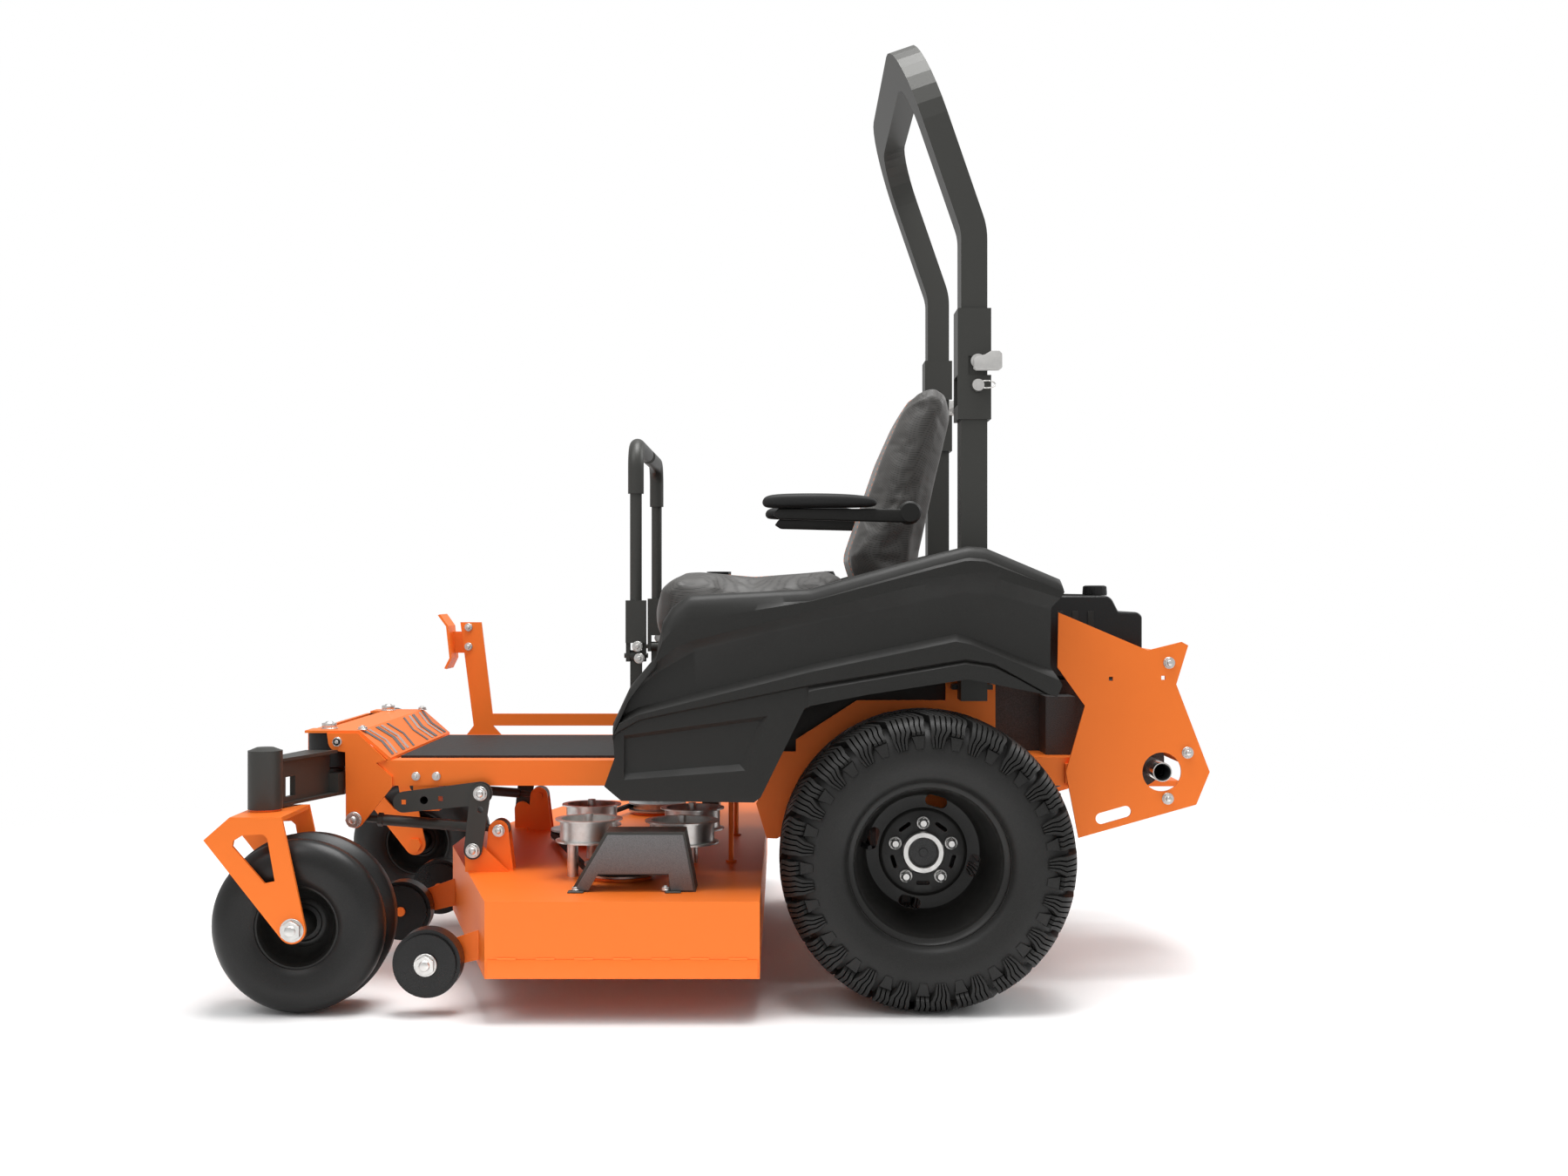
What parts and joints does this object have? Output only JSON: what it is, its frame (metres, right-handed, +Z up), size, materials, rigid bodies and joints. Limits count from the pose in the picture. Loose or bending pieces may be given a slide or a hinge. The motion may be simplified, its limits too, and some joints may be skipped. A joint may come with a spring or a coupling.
{
  "type": "zero turn mower",
  "caption": "Ride-on zero turn mower with front casters, lap bars, sprung seat, folding roll bar and a mid-mounted side-discharge cutting deck.",
  "frame": {"origin": "on the ground, under the middle of the machine's box, discharge chute included", "axes": "+X to the rear of the machine, -Y to the operator's left, +Z up"},
  "size_m": [1.919, 1.83, 1.8956],
  "materials": {
    "orange_powder_coat": "glossy powder coat",
    "black_powder_coat": "fine textured powder coat",
    "black_plastic": "grained moulding",
    "zinc_steel": "bright zinc plate",
    "tyre": "satin",
    "rubber": "matte",
    "seat_vinyl": "perforated vinyl over foam",
    "cast_aluminium": "cast and painted dark",
    "exhaust_steel": "polished tail pipe"
  },
  "bodies": {
    "chassis": {"frame_rails": "orange_powder_coat", "frame_crossmembers": "orange_powder_coat", "frame_side_plates": "orange_powder_coat", "toe_board": "orange_powder_coat", "floor_pan": "orange_powder_coat", "floor_mat": "rubber", "axle_isolators": "rubber", "frame_bolts": "zinc_steel", "fender_left": "black_plastic", "fender_right": "black_plastic", "seat_deck": "black_plastic", "engine_block": "cast_aluminium", "engine_shroud": "black_plastic", "muffler": "exhaust_steel", "guard_plates": "orange_powder_coat", "guard_bumper": "orange_powder_coat", "transaxles": "cast_aluminium", "rops_posts": "black_powder_coat"},
    "axle_arm_left": {"axle_arm_left": "black_powder_coat"},
    "caster_fork_left": {"caster_fork_left": "orange_powder_coat"},
    "caster_wheel_left": {"caster_rim_left": "black_powder_coat", "caster_tyre_left": "tyre"},
    "drive_wheel_left": {"drive_rim_left": "black_powder_coat", "drive_tyre_left": "tyre"},
    "lever_mount_left": {"lever_mount_left": "black_powder_coat"},
    "lever_left": {"lever_left": "black_powder_coat"},
    "armrest_left": {"armrest_left": "black_plastic"},
    "rops_pin_left": {"rops_pin_left": "zinc_steel"},
    "axle_arm_right": {"axle_arm_right": "black_powder_coat"},
    "caster_fork_right": {"caster_fork_right": "orange_powder_coat"},
    "caster_wheel_right": {"caster_rim_right": "black_powder_coat", "caster_tyre_right": "tyre"},
    "drive_wheel_right": {"drive_rim_right": "black_powder_coat", "drive_tyre_right": "tyre"},
    "lever_mount_right": {"lever_mount_right": "black_powder_coat"},
    "lever_right": {"lever_right": "black_powder_coat"},
    "armrest_right": {"armrest_right": "black_plastic"},
    "rops_pin_right": {"rops_pin_right": "zinc_steel"},
    "rops_hoop": {"rops_hoop": "black_powder_coat"},
    "seat_platform": {"seat_platform": "black_powder_coat"},
    "seat": {"seat_cushion": "seat_vinyl", "seat_back": "seat_vinyl"},
    "deck": {"deck_shell": "orange_powder_coat", "belt_covers": "black_powder_coat", "deck_belt": "rubber", "idler_pulleys": "zinc_steel", "hanger_links": "black_powder_coat"},
    "lift_bellcranks": {"lift_bellcranks": "black_powder_coat"},
    "push_rods": {"push_rods": "black_powder_coat"},
    "deck_pedal": {"deck_pedal": "orange_powder_coat"},
    "discharge_chute": {"discharge_chute": "rubber"},
    "spindle_left": {"spindle_left": "zinc_steel"},
    "spindle_center": {"spindle_center": "zinc_steel"},
    "spindle_right": {"spindle_right": "zinc_steel"},
    "roller_left": {"roller_left": "black_plastic"},
    "roller_right": {"roller_right": "black_plastic"},
    "roller_center_left": {"roller_center_left": "black_plastic"},
    "roller_center_right": {"roller_center_right": "black_plastic"},
    "clutch_pulley": {"clutch_pulley": "black_powder_coat"},
    "height_knob": {"height_knob": "black_plastic"}
  },
  "joints": [
    {"name": "axle_arm_swing_left", "type": "hinge", "parent": "chassis", "child": "axle_arm_left", "pos_m": [-0.7935, -0.465, 0.4], "axis": [-1, 0, 0], "range_deg": [0, 1.5], "stiffness_Nm_per_rad": 6000, "springref_deg": -3.15},
    {"name": "caster_swivel_left", "type": "hinge", "parent": "axle_arm_left", "child": "caster_fork_left", "pos_m": [-0.8715, -0.785, 0.43], "axis": [0, 0, 1], "continuous": true},
    {"name": "caster_spin_left", "type": "hinge", "parent": "caster_fork_left", "child": "caster_wheel_left", "pos_m": [-0.7945, -0.785, 0.165], "axis": [0, 1, 0], "continuous": true},
    {"name": "drive_spin_left", "type": "hinge", "parent": "chassis", "child": "drive_wheel_left", "pos_m": [0.3765, -0.73, 0.2795], "axis": [0, 1, 0], "continuous": true},
    {"name": "lap_bar_drive_left", "type": "hinge", "parent": "chassis", "child": "lever_mount_left", "pos_m": [-0.1935, -0.532, 0.56], "axis": [0, 1, 0], "range_deg": [-15, 12]},
    {"name": "lap_bar_swing_left", "type": "hinge", "parent": "lever_mount_left", "child": "lever_left", "pos_m": [-0.1935, -0.525, 0.655], "axis": [1, 0, 0], "range_deg": [0, 20]},
    {"name": "armrest_flip_left", "type": "hinge", "parent": "seat", "child": "armrest_left", "pos_m": [0.3615, -0.525, 0.945], "axis": [0, 1, 0], "range_deg": [0, 90]},
    {"name": "rops_pin_slide_left", "type": "slide", "parent": "rops_hoop", "child": "rops_pin_left", "axis": [0, -1, 0], "range_m": [0, 0.04]},
    {"name": "axle_arm_swing_right", "type": "hinge", "parent": "chassis", "child": "axle_arm_right", "pos_m": [-0.7935, -0.005, 0.4], "axis": [1, 0, 0], "range_deg": [0, 1.5], "stiffness_Nm_per_rad": 6000, "springref_deg": -3.15},
    {"name": "caster_swivel_right", "type": "hinge", "parent": "axle_arm_right", "child": "caster_fork_right", "pos_m": [-0.8715, 0.315, 0.43], "axis": [0, 0, 1], "continuous": true},
    {"name": "caster_spin_right", "type": "hinge", "parent": "caster_fork_right", "child": "caster_wheel_right", "pos_m": [-0.7945, 0.315, 0.165], "axis": [0, 1, 0], "continuous": true},
    {"name": "drive_spin_right", "type": "hinge", "parent": "chassis", "child": "drive_wheel_right", "pos_m": [0.3765, 0.26, 0.2795], "axis": [0, 1, 0], "continuous": true},
    {"name": "lap_bar_drive_right", "type": "hinge", "parent": "chassis", "child": "lever_mount_right", "pos_m": [-0.1935, 0.062, 0.56], "axis": [0, 1, 0], "range_deg": [-15, 12]},
    {"name": "lap_bar_swing_right", "type": "hinge", "parent": "lever_mount_right", "child": "lever_right", "pos_m": [-0.1935, 0.055, 0.655], "axis": [-1, 0, 0], "range_deg": [0, 20]},
    {"name": "armrest_flip_right", "type": "hinge", "parent": "seat", "child": "armrest_right", "pos_m": [0.3615, 0.055, 0.945], "axis": [0, 1, 0], "range_deg": [0, 90]},
    {"name": "rops_pin_slide_right", "type": "slide", "parent": "rops_hoop", "child": "rops_pin_right", "axis": [0, 1, 0], "range_m": [0, 0.04]},
    {"name": "rops_fold", "type": "hinge", "parent": "chassis", "child": "rops_hoop", "pos_m": [0.4825, -0.235, 1.185], "axis": [0, 1, 0], "range_deg": [0, 110]},
    {"name": "seat_tilt", "type": "hinge", "parent": "chassis", "child": "seat_platform", "pos_m": [-0.1295, -0.235, 0.652], "axis": [0, -1, 0], "range_deg": [0, 30]},
    {"name": "seat_slide", "type": "slide", "parent": "seat_platform", "child": "seat", "axis": [1, 0, 0], "range_m": [-0.04, 0.04]},
    {"name": "deck_lift", "type": "slide", "parent": "chassis", "child": "deck", "axis": [0, 0, 1], "range_m": [-0.03, 0], "stiffness_N_per_m": 8000, "springref_m": 0.16},
    {"name": "bellcrank_turn", "type": "hinge", "parent": "chassis", "child": "lift_bellcranks", "pos_m": [-0.6145, -0.235, 0.367], "axis": [0, 1, 0], "range_deg": [0, 15.2]},
    {"name": "push_rod_turn", "type": "hinge", "parent": "chassis", "child": "push_rods", "pos_m": [-0.7565, -0.235, 0.327], "axis": [0, 1, 0], "range_deg": [0, 6.1]},
    {"name": "pedal_turn", "type": "hinge", "parent": "chassis", "child": "deck_pedal", "pos_m": [-0.2235, 0.035, 0.484], "axis": [0, 1, 0], "range_deg": [0, 14]},
    {"name": "chute_flip", "type": "hinge", "parent": "deck", "child": "discharge_chute", "pos_m": [-0.0935, 0.655, 0.215], "axis": [1, 0, 0], "range_deg": [0, 80]},
    {"name": "spindle_spin_left", "type": "hinge", "parent": "deck", "child": "spindle_left", "pos_m": [-0.2135, -0.64, 0.2], "axis": [0, 0, 1], "continuous": true},
    {"name": "spindle_spin_center", "type": "hinge", "parent": "deck", "child": "spindle_center", "pos_m": [-0.3445, -0.135, 0.2], "axis": [0, 0, 1], "continuous": true},
    {"name": "spindle_spin_right", "type": "hinge", "parent": "deck", "child": "spindle_right", "pos_m": [-0.2135, 0.37, 0.2], "axis": [0, 0, 1], "continuous": true},
    {"name": "roller_spin_left", "type": "hinge", "parent": "deck", "child": "roller_left", "pos_m": [-0.5535, -0.835, 0.098], "axis": [0, 1, 0], "continuous": true},
    {"name": "roller_spin_right", "type": "hinge", "parent": "deck", "child": "roller_right", "pos_m": [-0.5535, 0.565, 0.098], "axis": [0, 1, 0], "continuous": true},
    {"name": "roller_spin_center_left", "type": "hinge", "parent": "deck", "child": "roller_center_left", "pos_m": [-0.7155, -0.29, 0.098], "axis": [0, 1, 0], "continuous": true},
    {"name": "roller_spin_center_right", "type": "hinge", "parent": "deck", "child": "roller_center_right", "pos_m": [-0.6935, 0.02, 0.098], "axis": [0, 1, 0], "continuous": true},
    {"name": "clutch_spin", "type": "hinge", "parent": "chassis", "child": "clutch_pulley", "pos_m": [0.6465, -0.235, 0.36], "axis": [0, 0, 1], "continuous": true},
    {"name": "height_knob_turn", "type": "hinge", "parent": "chassis", "child": "height_knob", "pos_m": [-0.0485, 0.115, 0.815], "axis": [0, 0, 1], "range_deg": [-140, 140]}
  ],
  "couplings": [
    {"joint": "bellcrank_turn", "follows": "deck_lift", "rad_per_m": -8.7719},
    {"joint": "push_rod_turn", "follows": "deck_lift", "rad_per_m": -3.4612},
    {"joint": "pedal_turn", "follows": "deck_lift", "rad_per_m": -8},
    {"joint": "spindle_spin_center", "follows": "spindle_spin_left", "ratio": 1},
    {"joint": "spindle_spin_right", "follows": "spindle_spin_left", "ratio": 1}
  ]
}
